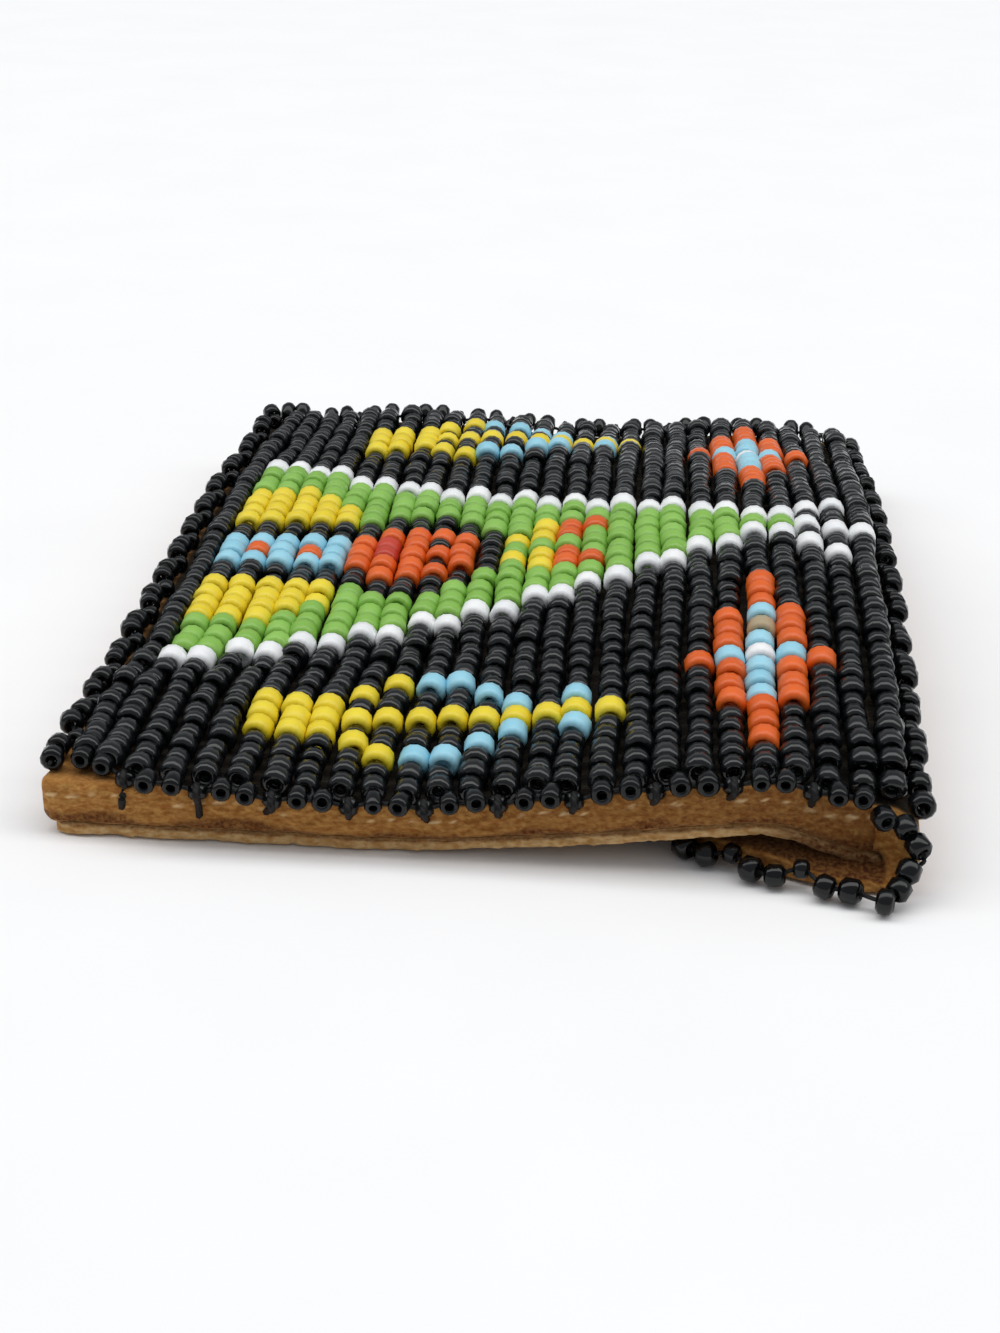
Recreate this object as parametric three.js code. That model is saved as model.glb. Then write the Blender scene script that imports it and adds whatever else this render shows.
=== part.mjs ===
// Beaded coin purse: a flat leather pouch with one beaded face, lying bead side up.
// X runs from the sewn bottom of the pouch to its mouth, Y across it, Z up. Millimetres.
// The front hide carries the strung bead lanes, folds over the mouth and comes back
// underneath as the closing flap. A second hide, sewn on at three edges, makes the back.
import * as THREE from "three";

// Bead panel: lanes strung across the pouch, side by side along X
const LANE_COUNT = 26;
const LANE_PITCH = 2.35;
const LANE_WIDTH = 2.05;
const ROW_COUNT = 43;
const ROW_PITCH = 1.85;
const BEAD_HEIGHT = 1.95;
const NECK_HEIGHT = 0.8;
const FIRST_LANE_INSET = 3.4;
const LAST_LANE_OVERHANG = 1.25;
const PANEL_SIDE_MARGIN = 0.9;

// Hides and the clearances between pieces that touch
const FRONT_THICKNESS = 1.9;
const BACK_THICKNESS = 1.5;
const CORNER_RADIUS = 1.2;
const FRONT_BOTTOM_OVERHANG = 0.4;
const SEAT_GAP = 0.25;
const BUTT_GAP = 0.3;

// Lie of the empty pouch: the flap lifts the mouth end, the front is pillowed
const SIDE_SEAM_GAP = 0.5;
const BOTTOM_SEAM_GAP = 0.9;
const BOTTOM_SEAM_FLAT = 4;
const BOTTOM_SEAM_END = 21;
const MOUTH_LIFT = 2.9;
const MOUTH_TWIST = 0.45;
const LIFT_START = 24;
const LIFT_END = 58;
const FAR_SIDE_START = -10;
const FAR_LIFT_LEAD_START = 21;
const FAR_LIFT_LEAD_END = 33;
const MIDDLE_LIFT = 0.4;
const MIDDLE_LIFT_LEAD_START = 7;
const MIDDLE_LIFT_LEAD_END = 20;
const PILLOW_BOTTOM = 0.95;
const PILLOW_MOUTH = 4;
const PILLOW_POWER = 1.5;
const PILLOW_SKEW = -0.05;
const PILLOW_DROOP = 1;
const PILLOW_DROOP_LENGTH = 10;

// Fold over the mouth and the flap under the pouch
const FOLD_REACH = 3;
const FOLD_MIDDLE_REACH = 0.5;
const MOUTH_OVERHANG = 0.5;
const FLAP_LENGTH = 29;
const FLAP_SKEW = -2.8;
const FLAP_SIDE_INSET = 0.3;
const FLAP_SIDE_POWER = 1.6;
const FLAP_TIP_POWER = 2.33;
const FLAP_UNDERSIDE = 0.25;

// Bead edging: two outer beads, then one inner bead where the thread enters the hide
const EDGING_PITCH = 1.92;
const EDGING_UNIT = 3;
const OUTER_BEAD_RADIUS = 1;
const INNER_BEAD_RADIUS = 0.85;
const EDGING_NECK_RADIUS = 0.45;
const EDGING_OUTER_STEP = 0.3;
const EDGING_SIDE_OFFSET = 0.45;
const EDGING_RISE = 0.78;
const NEAR_OUTER_LIFT = 0.3;
const FAR_OUTER_LIFT = 0.75;
const EDGING_CORNER_GAP = 1.1;
const BOTTOM_EDGING_INSET = 0.9;
const TOP_EDGING_ANGLE = 42;
const FOLD_EDGING_FIRST_ANGLE = 75;
const FOLD_EDGING_LAST_ANGLE = 25;
const FOLD_EDGING_COUNT = 3;
const FLAP_EDGING_LAST_ANGLE = -15;

// Bead pattern, counted in lanes from the bottom seam and rows from the middle line
const TENT_FIRST_LANE = 1;
const TENT_LAST_LANE = 22;
const TENT_HALF_ROWS = 11;
const FLOOR_LAST_LANE = 5;
const DISC_LANE = 8;
const DISC_RADIUS = 2.5;
const RING_LANE = 8.3;
const RING_LANE_RADIUS = 3.2;
const RING_ROW_RADIUS = 4.4;
const STAR_LANE = 21;
const STAR_ROW = 13;
const ARROW_ROW = 16;
const ARROW_TAIL_LANE = 5;
const ARROW_TIP_LANE = 16;

// Facets
const SHEET_STEPS_X = 12;
const SHEET_STEPS_Y = 6;
const FOLD_STEPS = 7;
const FLAP_STEPS = 12;
const EDGING_SIDES = 4;

// Sizes that follow from the ones above
const PANEL_HALF = (ROW_COUNT * ROW_PITCH) / 2;
const HALF_WIDTH = PANEL_HALF + PANEL_SIDE_MARGIN;
const LAST_LANE_X = FIRST_LANE_INSET + (LANE_COUNT - 1) * LANE_PITCH;
const FRONT_END = LAST_LANE_X - LAST_LANE_OVERHANG;
const FOLD_X = FRONT_END + BUTT_GAP;
const FLAP_HALF = HALF_WIDTH - FLAP_SIDE_INSET;
const FOLD_END_Y = HALF_WIDTH + OUTER_BEAD_RADIUS + SEAT_GAP;

// Leather and bead finishes
const LEATHER = new THREE.MeshStandardMaterial({ color: 0xb07a3c, roughness: 0.9, metalness: 0 });
const LEATHER_SPLIT = new THREE.MeshStandardMaterial({ color: 0xc08f52, roughness: 0.95, metalness: 0 });
const GLASS_BEADS = new THREE.MeshStandardMaterial({ vertexColors: true, roughness: 0.3, metalness: 0 });
const BLACK_BEADS = new THREE.MeshStandardMaterial({ color: 0x16181a, roughness: 0.25, metalness: 0 });

const BLACK = new THREE.Color(0x1c1f21);
const WHITE = new THREE.Color(0xf2f4f6);
const GREEN = new THREE.Color(0x7dbe4b);
const YELLOW = new THREE.Color(0xf2d028);
const ORANGE = new THREE.Color(0xf0692c);
const RED = new THREE.Color(0xc83a26);
const LIGHT_BLUE = new THREE.Color(0x8ccde6);

// Smooth rise from 0 at a to 1 at b
function smoothRise(a, b, x) {
  const t = Math.min(1, Math.max(0, (x - a) / (b - a)));
  return t * t * (3 - 2 * t);
}

// 1 along the middle of the pouch, falling to 0 at both side seams
function middleShare(y) {
  const v = y / HALF_WIDTH;
  return Math.max(0, 1 - v * v);
}

// 0 on the near side, rising to 1 at the far side seam
function farShare(y) {
  return smoothRise(FAR_SIDE_START, HALF_WIDTH, y);
}

// Height of the mouth end above the table, a little higher on the near side
function mouthLift(y) {
  return MOUTH_LIFT - (MOUTH_TWIST * y) / HALF_WIDTH;
}

// How far the pouch has risen to its mouth, 0 to 1: sooner along the far side, and sooner
// by lead, which the back takes over the middle of the flap
function liftShare(x, y, lead) {
  const far = farShare(y);
  const start = LIFT_START - FAR_LIFT_LEAD_START * far - MIDDLE_LIFT_LEAD_START * lead * (1 - far);
  const end = LIFT_END - FAR_LIFT_LEAD_END * far - MIDDLE_LIFT_LEAD_END * lead * (1 - far);
  return smoothRise(start, end, x);
}

// Underside of the back hide: flat at the bottom end, lifted where the flap lies below
function backUnder(x, y) {
  const middle = middleShare(y);
  return (mouthLift(y) + MIDDLE_LIFT * middle) * liftShare(x, y, middle);
}

function backTop(x, y) {
  return backUnder(x, y) + BACK_THICKNESS;
}

// Height of the front's pillow over its side seams
function pillow(x, y) {
  const rise = PILLOW_BOTTOM + (PILLOW_MOUTH - PILLOW_BOTTOM) * smoothRise(0, LIFT_END, x);
  const past = Math.max(0, (x - LIFT_END + PILLOW_DROOP_LENGTH / 2) / PILLOW_DROOP_LENGTH);
  const across = middleShare(y) ** PILLOW_POWER * (1 + (PILLOW_SKEW * y) / HALF_WIDTH);
  return (rise - PILLOW_DROOP * past * past) * across;
}

// Underside of the front hide: over the back by the seam gap, plus the pillow
function frontUnder(x, y) {
  const seam = SIDE_SEAM_GAP + BOTTOM_SEAM_GAP * (1 - smoothRise(BOTTOM_SEAM_FLAT, BOTTOM_SEAM_END, x));
  return mouthLift(y) * liftShare(x, y, 0) + BACK_THICKNESS + seam + pillow(x, y);
}

function frontTop(x, y) {
  return frontUnder(x, y) + FRONT_THICKNESS;
}

// Height that a lane sits over: the front, level on past its end where the fold begins
function laneSeat(x, y) {
  return frontTop(Math.min(x, FRONT_END), y) + SEAT_GAP;
}

// Half width of a hide at a distance from its bottom edge, with the two corners there rounded
function hideHalfWidth(distance) {
  const inset = Math.max(0, CORNER_RADIUS - distance) / CORNER_RADIUS;
  return HALF_WIDTH - CORNER_RADIUS * (1 - Math.sqrt(1 - inset * inset));
}

// Stations along X: close together round the bottom corners, even after them
function hideStations(start, end) {
  const stations = [start, start + CORNER_RADIUS * 0.3];
  const first = start + CORNER_RADIUS;
  for (let i = 0; i <= SHEET_STEPS_X; i += 1) {
    stations.push(first + ((end - first) * i) / SHEET_STEPS_X);
  }
  return stations;
}

// Geometry from points and triangles given by index
function indexedGeometry(points, triangles) {
  const geometry = new THREE.BufferGeometry();
  geometry.setAttribute("position", new THREE.Float32BufferAttribute(points.flat(), 3));
  geometry.setIndex(triangles.flat());
  geometry.computeVertexNormals();
  return geometry;
}

// Closed slab between two surfaces on one grid; outer(i, j) is seen from outside
function slabGeometry(stepsU, stepsV, outer, inner) {
  const points = [];
  const triangles = [];
  const columns = stepsV + 1;
  const innerStart = (stepsU + 1) * columns;
  for (const surface of [outer, inner]) {
    for (let i = 0; i <= stepsU; i += 1) {
      for (let j = 0; j <= stepsV; j += 1) points.push(surface(i, j));
    }
  }
  const at = (i, j) => i * columns + j;
  const quad = (a, b, c, d) => triangles.push([a, b, c], [a, c, d]);
  for (let i = 0; i < stepsU; i += 1) {
    for (let j = 0; j < stepsV; j += 1) {
      quad(at(i, j), at(i + 1, j), at(i + 1, j + 1), at(i, j + 1));
      const under = [at(i, j), at(i, j + 1), at(i + 1, j + 1), at(i + 1, j)];
      quad(...under.map((index) => index + innerStart));
    }
  }
  const rim = (a, b) => quad(a, a + innerStart, b + innerStart, b);
  for (let i = 0; i < stepsU; i += 1) {
    rim(at(i, 0), at(i + 1, 0));
    rim(at(i + 1, stepsV), at(i, stepsV));
  }
  for (let j = 0; j < stepsV; j += 1) {
    rim(at(0, j + 1), at(0, j));
    rim(at(stepsU, j), at(stepsU, j + 1));
  }
  return indexedGeometry(points, triangles);
}

// A hide lying between two height fields, from x = start at the bottom seam to x = end
function hideGeometry(start, end, top, under) {
  const stations = hideStations(start, end);
  const point = (height) => (i, j) => {
    const x = stations[i];
    const y = hideHalfWidth(x - start) * ((2 * j) / SHEET_STEPS_Y - 1);
    return [x, y, height(x, y)];
  };
  return slabGeometry(stations.length - 1, SHEET_STEPS_Y, point(top), point(under));
}

// How far the fold stands out past the end of the front
function foldReach(y) {
  return FOLD_REACH + FOLD_MIDDLE_REACH * middleShare(y);
}

// How far the hide has run askew by this angle of the fold, on its way to the flap
function foldSkew(degrees) {
  return FLAP_SKEW * smoothRise(90, -90, degrees);
}

// Point on the fold's outer half ellipse, grown outwards by offset; 90 is the top.
// y is taken across the front, before the fold runs askew.
function foldPoint(degrees, y, offset) {
  const angle = THREE.MathUtils.degToRad(degrees);
  const high = frontTop(FRONT_END, y);
  const middle = (high + FLAP_UNDERSIDE) / 2;
  const rise = (high - FLAP_UNDERSIDE) / 2 + offset;
  const reach = foldReach(y) + offset;
  return [FOLD_X + reach * Math.cos(angle), y + foldSkew(degrees), middle + rise * Math.sin(angle)];
}

// The front hide's turn over the mouth
function foldGeometry() {
  const surface = (offset) => (i, j) => {
    const y = HALF_WIDTH * ((2 * j) / SHEET_STEPS_Y - 1);
    return foldPoint(90 - (180 * i) / FOLD_STEPS, y, offset);
  };
  return slabGeometry(FOLD_STEPS, SHEET_STEPS_Y, surface(0), surface(-FRONT_THICKNESS));
}

// Flap outline as a rounded tongue: |u / length|^p + |y / half|^q = 1, grown by offset
function flapOutline(offset) {
  const points = [];
  for (let i = -FLAP_STEPS; i <= FLAP_STEPS; i += 1) {
    const turn = (Math.PI / 2) * (1 - Math.abs(i) / FLAP_STEPS);
    const u = (FLAP_LENGTH + offset) * Math.sin(turn) ** (2 / FLAP_SIDE_POWER);
    const y = (FLAP_HALF + offset) * Math.abs(Math.cos(turn)) ** (2 / FLAP_TIP_POWER);
    points.push(new THREE.Vector2(FRONT_END - u, FLAP_SKEW + Math.sign(i) * y));
  }
  return points;
}

function flapGeometry() {
  const shape = new THREE.Shape(flapOutline(0).reverse());
  const geometry = new THREE.ExtrudeGeometry(shape, { depth: FRONT_THICKNESS, bevelEnabled: false });
  return geometry.translate(0, 0, FLAP_UNDERSIDE);
}

// The bead pattern, told by lane (0 at the bottom seam) and row (0 on the middle line)
function tentHalf(lane) {
  const inside = lane >= TENT_FIRST_LANE && lane <= TENT_LAST_LANE;
  return inside ? TENT_HALF_ROWS - Math.floor((lane - TENT_FIRST_LANE) / 2) : -1;
}

// Half height of an ellipse across the lanes, or -1 outside it
function ellipseHalf(lane, centre, laneRadius, rowRadius) {
  const d = (lane - centre) / laneRadius;
  return Math.abs(d) < 1 ? rowRadius * Math.sqrt(1 - d * d) : -1;
}

// The tent: white outline, a striped floor, a ringed disc and a small top figure on green
function tentColour(lane, row) {
  const side = Math.abs(row);
  if (side === tentHalf(lane)) return WHITE;
  if (lane <= FLOOR_LAST_LANE) {
    if (side <= 1) return side === 0 && lane % 2 === 0 ? ORANGE : LIGHT_BLUE;
    if (side <= 3) return BLACK;
    return side <= Math.min(7, 10 - lane) ? YELLOW : GREEN;
  }
  if (lane === DISC_LANE + 1 && side === 1) return BLACK;
  if (lane === DISC_LANE - 1 && (row === 0 || row === -1)) return RED;
  if (side <= ellipseHalf(lane, DISC_LANE, DISC_RADIUS, DISC_RADIUS)) return ORANGE;
  if (side <= ellipseHalf(lane, RING_LANE, RING_LANE_RADIUS, RING_ROW_RADIUS)) return BLACK;
  if (side === 2 && lane >= 13 && lane <= 15) return lane === 13 ? YELLOW : ORANGE;
  if (side === 1 && lane >= 12 && lane <= 14) return lane === 14 ? ORANGE : YELLOW;
  return GREEN;
}

// Stars, arrows and tent poles on the black ground
function groundColour(lane, row) {
  const side = Math.abs(row);
  const star = Math.abs(side - STAR_ROW) + 3 * Math.abs(lane - STAR_LANE);
  if (star === 0) return WHITE;
  if (star <= 3) return LIGHT_BLUE;
  if (star <= 6) return ORANGE;
  const off = Math.abs(side - ARROW_ROW);
  const along = lane - ARROW_TAIL_LANE;
  const toTip = ARROW_TIP_LANE - lane;
  if (along >= 0 && toTip >= 0 && off === 0) return YELLOW;
  if (along >= 0 && along <= 2 && off === 1) return YELLOW;
  const blade = Math.min(3, along - 1, Math.abs(toTip - 2));
  if (along >= 3 && toTip >= 1 && off === blade) return along <= 4 ? YELLOW : LIGHT_BLUE;
  const past = lane - TENT_LAST_LANE;
  const pole = past >= 1 && (side === 0 || (past <= 2 && side === past + 1));
  return pole ? WHITE : BLACK;
}

function beadColour(lane, row) {
  return Math.abs(row) <= tentHalf(lane) ? tentColour(lane, row) : groundColour(lane, row);
}

// One lane: a flat-bottomed strip with a four-sided peak for each bead, low between beads.
// The walls below the peaks stand on a coarser row of points along the hide.
function laneGeometry(lane) {
  const middle = FIRST_LANE_INSET + lane * LANE_PITCH;
  const positions = [];
  const colours = [];
  const point = (x, y, height) => [x, y, laneSeat(x, y) + height];
  const edge = (side) => middle + (side * LANE_WIDTH) / 2;
  const base = (side, j) => point(edge(side), PANEL_HALF * ((2 * j) / SHEET_STEPS_Y - 1), 0);
  const neck = (side, i) => point(edge(side), (i - ROW_COUNT / 2) * ROW_PITCH, NECK_HEIGHT);
  const peak = (i) => point(middle, (i + 0.5 - ROW_COUNT / 2) * ROW_PITCH, BEAD_HEIGHT);
  const colourAt = (i) => beadColour(lane, (ROW_COUNT - 1) / 2 - i);
  const face = (colour, ...corners) => {
    positions.push(...corners.flat());
    corners.forEach(() => colours.push(colour.r, colour.g, colour.b));
  };

  for (let i = 0; i < ROW_COUNT; i += 1) {
    const corners = [neck(-1, i), neck(1, i), neck(1, i + 1), neck(-1, i + 1)];
    corners.forEach((corner, k) => face(colourAt(i), corner, corners[(k + 1) % 4], peak(i)));
  }
  for (const side of [-1, 1]) {
    const wall = (a, b, c) => (side > 0 ? face(BLACK, a, b, c) : face(BLACK, a, c, b));
    for (let i = 0, j = 0; i < ROW_COUNT; i += 1) {
      wall(base(side, j), neck(side, i + 1), neck(side, i));
      if (Math.round(((i + 1) * SHEET_STEPS_Y) / ROW_COUNT) > j) {
        wall(base(side, j), base(side, j + 1), neck(side, i + 1));
        j += 1;
      }
    }
  }
  const quad = (a, b, c, d) => {
    face(BLACK, a, b, c);
    face(BLACK, a, c, d);
  };
  for (let j = 0; j < SHEET_STEPS_Y; j += 1) quad(base(-1, j), base(-1, j + 1), base(1, j + 1), base(1, j));
  quad(base(-1, 0), base(1, 0), neck(1, 0), neck(-1, 0));
  const far = SHEET_STEPS_Y;
  quad(base(1, far), base(-1, far), neck(-1, ROW_COUNT), neck(1, ROW_COUNT));

  const geometry = new THREE.BufferGeometry();
  geometry.setAttribute("position", new THREE.Float32BufferAttribute(positions, 3));
  geometry.setAttribute("color", new THREE.Float32BufferAttribute(colours, 3));
  geometry.computeVertexNormals();
  return geometry;
}

function isOuterBead(i) {
  return i % EDGING_UNIT !== EDGING_UNIT - 1;
}

function edgingRadius(i) {
  return isOuterBead(i) ? OUTER_BEAD_RADIUS : INNER_BEAD_RADIUS;
}

// How far bead i of an edging string stands out from the inner beads
function edgingStep(i) {
  return isOuterBead(i) ? EDGING_OUTER_STEP : 0;
}

// A string of beads: rings that swell at each bead and narrow between them.
// outward(i) is the direction from the hide through bead i, square to the string.
function stringGeometry(centres, outward) {
  const points = [];
  const triangles = [];
  const beads = centres.map((c) => new THREE.Vector3(...c));
  const last = beads.length - 1;
  const ring = (middle, along, out, radius) => {
    const right = new THREE.Vector3().crossVectors(along, out).normalize();
    const up = new THREE.Vector3().crossVectors(right, along).normalize();
    for (let k = 0; k < EDGING_SIDES; k += 1) {
      const turn = (2 * Math.PI * k) / EDGING_SIDES;
      const spoke = up.clone().multiplyScalar(Math.cos(turn)).addScaledVector(right, Math.sin(turn));
      points.push(middle.clone().addScaledVector(spoke, radius).toArray());
    }
  };
  beads.forEach((bead, i) => {
    const along = beads[Math.min(i + 1, last)].clone().sub(beads[Math.max(i - 1, 0)]).normalize();
    const half = along.clone().multiplyScalar(EDGING_PITCH / 2);
    const before = i > 0 ? beads[i - 1].clone().lerp(bead, 0.5) : bead.clone().sub(half);
    ring(before, along, outward(i), EDGING_NECK_RADIUS);
    ring(bead, along, outward(i), edgingRadius(i));
    if (i === last) ring(bead.clone().add(half), along, outward(i), EDGING_NECK_RADIUS);
  });
  const end = points.length - EDGING_SIDES;
  for (let start = 0; start < end; start += EDGING_SIDES) {
    for (let k = 0; k < EDGING_SIDES; k += 1) {
      const a = start + k;
      const b = start + ((k + 1) % EDGING_SIDES);
      triangles.push([a, b, b + EDGING_SIDES], [a, b + EDGING_SIDES, a + EDGING_SIDES]);
    }
  }
  for (let k = 1; k + 1 < EDGING_SIDES; k += 1) {
    triangles.push([0, k + 1, k], [end, end + k, end + k + 1]);
  }
  return indexedGeometry(points, triangles);
}

// Number of beads that fill a run of this length, and the place of bead i along it
function beadsIn(length) {
  return Math.floor(length / EDGING_PITCH);
}

function alongRun(from, to, count, i) {
  return (from + to) / 2 + (i - (count - 1) / 2) * EDGING_PITCH * Math.sign(to - from);
}

// Edging along a side seam, sewn over the top edge of the front hide
function sideEdging(side) {
  const from = BOTTOM_EDGING_INSET + OUTER_BEAD_RADIUS;
  const to = FRONT_END - EDGING_CORNER_GAP / 2;
  const count = beadsIn(to - from);
  const lift = side < 0 ? NEAR_OUTER_LIFT : FAR_OUTER_LIFT;
  const centres = [];
  for (let i = 0; i < count; i += 1) {
    const x = alongRun(from, to, count, i);
    const out = HALF_WIDTH + EDGING_SIDE_OFFSET + edgingStep(i);
    const rise = EDGING_RISE + (isOuterBead(i) ? lift : 0);
    centres.push([x, side * out, frontTop(x, side * HALF_WIDTH) + rise]);
  }
  return stringGeometry(centres, () => new THREE.Vector3(0, side, 0));
}

// Edging across the bottom seam, standing on the front hide just inside its edge
function bottomEdging() {
  const reach = HALF_WIDTH - EDGING_CORNER_GAP;
  const count = beadsIn(2 * reach);
  const centres = [];
  for (let i = 0; i < count; i += 1) {
    const y = alongRun(-reach, reach, count, i);
    const x = BOTTOM_EDGING_INSET - edgingStep(i);
    centres.push([x, y, frontTop(x, y) + OUTER_BEAD_RADIUS + SEAT_GAP]);
  }
  return stringGeometry(centres, () => new THREE.Vector3(-1, 0, 0));
}

// Edging along the fold, sewn through the shoulder of the turn
function topEdging() {
  const reach = HALF_WIDTH - EDGING_CORNER_GAP;
  const count = beadsIn(2 * reach);
  const angle = THREE.MathUtils.degToRad(TOP_EDGING_ANGLE);
  const centres = [];
  for (let i = 0; i < count; i += 1) {
    const y = alongRun(-reach, reach, count, i);
    centres.push(foldPoint(TOP_EDGING_ANGLE, y, edgingStep(i) + INNER_BEAD_RADIUS + SEAT_GAP));
  }
  return stringGeometry(centres, () => new THREE.Vector3(Math.cos(angle), 0, Math.sin(angle)));
}

// Point beside one end of the fold, where a bead sits against the cut edge of the turn
function foldEndPoint(degrees, side) {
  const [x, , z] = foldPoint(degrees, side * HALF_WIDTH, -EDGING_SIDE_OFFSET);
  return new THREE.Vector3(x, side * FOLD_END_Y + foldSkew(degrees), Math.max(z, OUTER_BEAD_RADIUS));
}

// Edging round the upper half of one end of the fold, carrying on from the side edging
function foldEdging(side) {
  const centres = [];
  for (let i = 0; i < FOLD_EDGING_COUNT; i += 1) {
    const share = i / (FOLD_EDGING_COUNT - 1);
    const degrees = FOLD_EDGING_FIRST_ANGLE + (FOLD_EDGING_LAST_ANGLE - FOLD_EDGING_FIRST_ANGLE) * share;
    centres.push(foldEndPoint(degrees, side).toArray());
  }
  return stringGeometry(centres, () => new THREE.Vector3(0, side, 0));
}

// Edging round the free edge of the flap, from the lower half of one end of the fold to the other
function flapEdging() {
  const offset = OUTER_BEAD_RADIUS + SEAT_GAP;
  const rim = flapOutline(offset).slice(1, -1);
  const route = rim.map((p) => new THREE.Vector3(p.x, p.y, OUTER_BEAD_RADIUS));
  for (const degrees of [-90, FLAP_EDGING_LAST_ANGLE - 45, FLAP_EDGING_LAST_ANGLE]) {
    route.unshift(foldEndPoint(degrees, -1));
    route.push(foldEndPoint(degrees, 1));
  }
  const curve = new THREE.CatmullRomCurve3(route);
  const count = beadsIn(curve.getLength());
  const centres = [];
  const outwards = [];
  for (let i = 0; i < count; i += 1) {
    const share = alongRun(0, curve.getLength(), count, i) / curve.getLength();
    const along = curve.getTangentAt(share);
    const centre = curve.getPointAt(share);
    centre.z = Math.max(centre.z, OUTER_BEAD_RADIUS);
    const besideFold = centre.x > FRONT_END;
    centres.push(centre.toArray());
    outwards.push(new THREE.Vector3(besideFold ? 0 : -along.y, besideFold ? centre.y : along.x, 0));
  }
  return stringGeometry(centres, (i) => outwards[i]);
}

const purse = new THREE.Group();

function addPiece(name, geometry, material) {
  const mesh = new THREE.Mesh(geometry, material);
  mesh.name = name;
  purse.add(mesh);
}

const back = hideGeometry(0, FRONT_END + MOUTH_OVERHANG, backTop, backUnder);
const front = hideGeometry(-FRONT_BOTTOM_OVERHANG, FRONT_END, frontTop, frontUnder);
addPiece("back_leather", back, LEATHER_SPLIT);
addPiece("front_leather", front, LEATHER);
addPiece("fold_leather", foldGeometry(), LEATHER);
addPiece("flap_leather", flapGeometry(), LEATHER);
for (let lane = 0; lane < LANE_COUNT; lane += 1) {
  addPiece(`bead_lane_${String(lane + 1).padStart(2, "0")}`, laneGeometry(lane), GLASS_BEADS);
}
addPiece("right_side_edging", sideEdging(-1), BLACK_BEADS);
addPiece("left_side_edging", sideEdging(1), BLACK_BEADS);
addPiece("bottom_edging", bottomEdging(), BLACK_BEADS);
addPiece("top_edging", topEdging(), BLACK_BEADS);
addPiece("right_fold_edging", foldEdging(-1), BLACK_BEADS);
addPiece("left_fold_edging", foldEdging(1), BLACK_BEADS);
addPiece("flap_edging", flapEdging(), BLACK_BEADS);

// The origin is on the table under the middle of the purse
const box = new THREE.Box3().setFromObject(purse);
const centre = box.getCenter(new THREE.Vector3());
purse.position.set(-centre.x, -centre.y, -box.min.z);

export default purse;
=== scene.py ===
import math

import bmesh
import bpy
import numpy as np
from mathutils import Matrix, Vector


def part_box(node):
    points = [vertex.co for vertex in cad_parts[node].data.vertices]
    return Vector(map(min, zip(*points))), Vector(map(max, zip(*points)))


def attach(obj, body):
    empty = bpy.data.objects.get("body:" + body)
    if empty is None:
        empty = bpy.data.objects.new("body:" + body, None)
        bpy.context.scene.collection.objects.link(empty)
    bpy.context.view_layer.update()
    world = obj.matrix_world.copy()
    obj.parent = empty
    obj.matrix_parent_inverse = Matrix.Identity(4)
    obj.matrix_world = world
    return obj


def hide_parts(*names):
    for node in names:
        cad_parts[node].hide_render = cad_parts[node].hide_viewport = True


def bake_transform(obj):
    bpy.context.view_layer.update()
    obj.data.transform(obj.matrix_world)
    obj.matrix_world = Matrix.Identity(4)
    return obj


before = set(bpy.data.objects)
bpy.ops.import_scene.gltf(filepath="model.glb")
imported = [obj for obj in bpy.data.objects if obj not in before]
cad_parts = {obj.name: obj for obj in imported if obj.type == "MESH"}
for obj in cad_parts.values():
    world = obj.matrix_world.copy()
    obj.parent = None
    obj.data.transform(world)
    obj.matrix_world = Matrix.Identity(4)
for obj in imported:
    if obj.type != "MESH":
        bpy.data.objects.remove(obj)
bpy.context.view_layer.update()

# Back hide: the thinner of the two hides, a split suede whose pale flesh side shows at its cut
# edges. It lies flat at the sewn bottom, rises over the flap towards the mouth, is pinched thin
# under the side seams, and ends in a rounded nose, dark from handling, inside the fold.

BACK_LOW, BACK_HIGH = (1000 * np.array(corner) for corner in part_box("back_leather"))
BOTTOM_MIDDLE = np.array([BACK_LOW[0], (BACK_LOW[1] + BACK_HIGH[1]) / 2, 0.0])
HALF_WIDTH = (BACK_HIGH[1] - BACK_LOW[1]) / 2
CORNER_RADIUS = 1.2
EDGE_ROUNDING, SIDE_MARGIN = 0.3, 0.2
EDGE_CAP = np.array([0, 0.45, 0.8, 0.94])
BACK_THICKNESS, BACK_FUZZ = 1.5, 0.07
MOUTH_LIFT, MOUTH_TWIST = 3.2, 0.45
LIFT_START, LIFT_END = 24.0, 58.0
FAR_SIDE_START, FAR_LEAD_START, FAR_LEAD_END = 0.0, 21.0, 33.0
MIDDLE_LIFT, MIDDLE_LEAD_START, MIDDLE_LEAD_END = 0.4, 7.0, 20.0
MOUTH_X = 60.9
SEAM_PINCH, SEAM_EDGE, SEAM_DEPTH, MIDDLE_THINNING = 0.55, 0.5, 4.0, 0.4
NOSE_REACH, NOSE_END_REACH, NOSE_GAP = 0.45, 0.5, 0.25
HANDLED_START, HANDLED_END = 51.0, 57.0
NEAR_DROOP, NEAR_DROOP_START, NEAR_DROOP_WIDTH = 2.2, 52.5, 9.0
NEAR_SAG, NEAR_SAG_START, NEAR_SAG_END = 0.55, 30.0, 46.0
FAR_PULL, FAR_PULL_START, FAR_PULL_LENGTH = 1.7, 14.0, 14.0
FAR_CURL, FAR_CURL_START, FAR_CURL_LENGTH = 0.8, 16.0, 10.0
FAR_DIP, FAR_DIP_START, FAR_DIP_END = 0.9, 22.0, 36.0
FAR_DIP_FALL, FAR_DIP_RISE = (14.0, 26.0), (36.0, 54.0)
LONG_FUZZ, SHORT_FUZZ, SHORT_FUZZ_SHARE = 1.3, 0.7, 0.7
FULL = 0.999


def in_frame(points):
    """Millimetres from the middle of the back's bottom edge, turned to metres in the row frame."""
    return (np.asarray(points, float) + BOTTOM_MIDDLE) / 1000


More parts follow.
